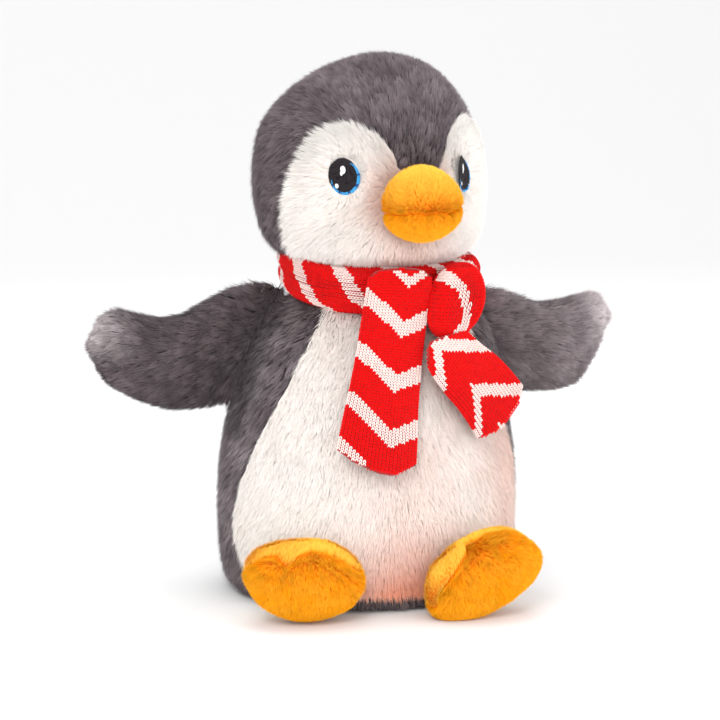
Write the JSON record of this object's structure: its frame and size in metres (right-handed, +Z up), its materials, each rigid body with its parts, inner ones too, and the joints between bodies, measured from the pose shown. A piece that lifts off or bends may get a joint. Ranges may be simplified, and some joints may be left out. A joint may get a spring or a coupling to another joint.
{
  "type": "plush penguin",
  "caption": "Sitting plush penguin with grey and white long-pile body, orange velour beak and feet, embroidered eyes and a knitted scarf with two hanging tails.",
  "frame": {"origin": "centre of the flat base panel, on the surface the toy sits on", "axes": "+Z up; the penguin faces -Y; its own right side is at -X"},
  "size_m": [0.1955, 0.116, 0.199],
  "materials": {
    "plush_grey": "long-pile plush, matte with a soft sheen",
    "plush_white": "long-pile plush, matte with a soft sheen",
    "velour_orange": "short-pile velour",
    "knit_red": "fine knit, red with white chevrons",
    "thread_black": "satin-stitch embroidery thread",
    "thread_blue": "satin-stitch embroidery thread",
    "thread_white": "satin-stitch embroidery thread",
    "fibre_filling": "polyester fibre filling",
    "pellet_pouch": "woven pouch of plastic pellets"
  },
  "bodies": {
    "torso": {"belly_panel": "plush_white", "base_panel": "plush_grey", "torso_back_left": "plush_grey", "torso_back_right": "plush_grey", "torso_stuffing": "fibre_filling", "bean_bag": "pellet_pouch", "scarf_loop": "knit_red", "scarf_knot": "knit_red"},
    "neck": {"neck_stuffing": "fibre_filling"},
    "head": {"head_crown_left": "plush_grey", "head_crown_right": "plush_grey", "face_panel_left": "plush_white", "face_panel_right": "plush_white", "head_stuffing": "fibre_filling", "beak_upper_panel": "velour_orange", "beak_lower_panel": "velour_orange", "beak_stuffing": "fibre_filling", "eye_left_pupil": "thread_black", "eye_left_iris": "thread_blue", "eye_left_glints": "thread_white", "eye_right_pupil": "thread_black", "eye_right_iris": "thread_blue", "eye_right_glints": "thread_white"},
    "wing_left": {"wing_left_front_panel": "plush_grey", "wing_left_back_panel": "plush_grey", "wing_left_stuffing": "fibre_filling"},
    "wing_right": {"wing_right_front_panel": "plush_grey", "wing_right_back_panel": "plush_grey", "wing_right_stuffing": "fibre_filling"},
    "foot_left": {"foot_left_top_panel": "velour_orange", "foot_left_sole_panel": "velour_orange", "foot_left_stuffing": "fibre_filling"},
    "foot_right": {"foot_right_top_panel": "velour_orange", "foot_right_sole_panel": "velour_orange", "foot_right_stuffing": "fibre_filling"},
    "tail_front": {"scarf_tail_front": "knit_red"},
    "tail_side": {"scarf_tail_side": "knit_red"}
  },
  "joints": [
    {"name": "head_turn", "type": "hinge", "parent": "torso", "child": "neck", "pos_m": [0.003, -0.0015, 0.121], "axis": [0, 0, 1], "range_deg": [-24, 12], "stiffness_Nm_per_rad": 0.35},
    {"name": "head_nod", "type": "hinge", "parent": "neck", "child": "head", "pos_m": [0.003, -0.0015, 0.121], "axis": [0.9945, 0.1045, 0], "range_deg": [-4, 3], "stiffness_Nm_per_rad": 1.2},
    {"name": "wing_right_flap", "type": "hinge", "parent": "torso", "child": "wing_right", "pos_m": [-0.0432, 0.001, 0.085], "axis": [0.3523, 0, 0.9359], "range_deg": [-15, 28], "stiffness_Nm_per_rad": 0.04},
    {"name": "wing_left_flap", "type": "hinge", "parent": "torso", "child": "wing_left", "pos_m": [0.0454, 0.001, 0.085], "axis": [0.2822, 0, -0.9594], "range_deg": [-15, 28], "stiffness_Nm_per_rad": 0.04},
    {"name": "foot_right_flex", "type": "hinge", "parent": "torso", "child": "foot_right", "pos_m": [-0.0345, -0.0435, 0.0065], "axis": [0.9903, -0.1392, 0], "range_deg": [-3, 30], "stiffness_Nm_per_rad": 0.05},
    {"name": "foot_left_flex", "type": "hinge", "parent": "torso", "child": "foot_left", "pos_m": [0.027, -0.046, 0.007], "axis": [0.9781, 0.2079, 0], "range_deg": [-3, 30], "stiffness_Nm_per_rad": 0.05},
    {"name": "scarf_tail_front_swing", "type": "hinge", "parent": "torso", "child": "tail_front", "pos_m": [0.002, -0.0423, 0.1204], "axis": [-0.9942, 0, 0.1075], "range_deg": [0, 60]},
    {"name": "scarf_tail_side_swing", "type": "hinge", "parent": "torso", "child": "tail_side", "pos_m": [0.0189, -0.048, 0.0918], "axis": [-0.6335, -0.3927, -0.6667], "range_deg": [0, 60]}
  ]
}
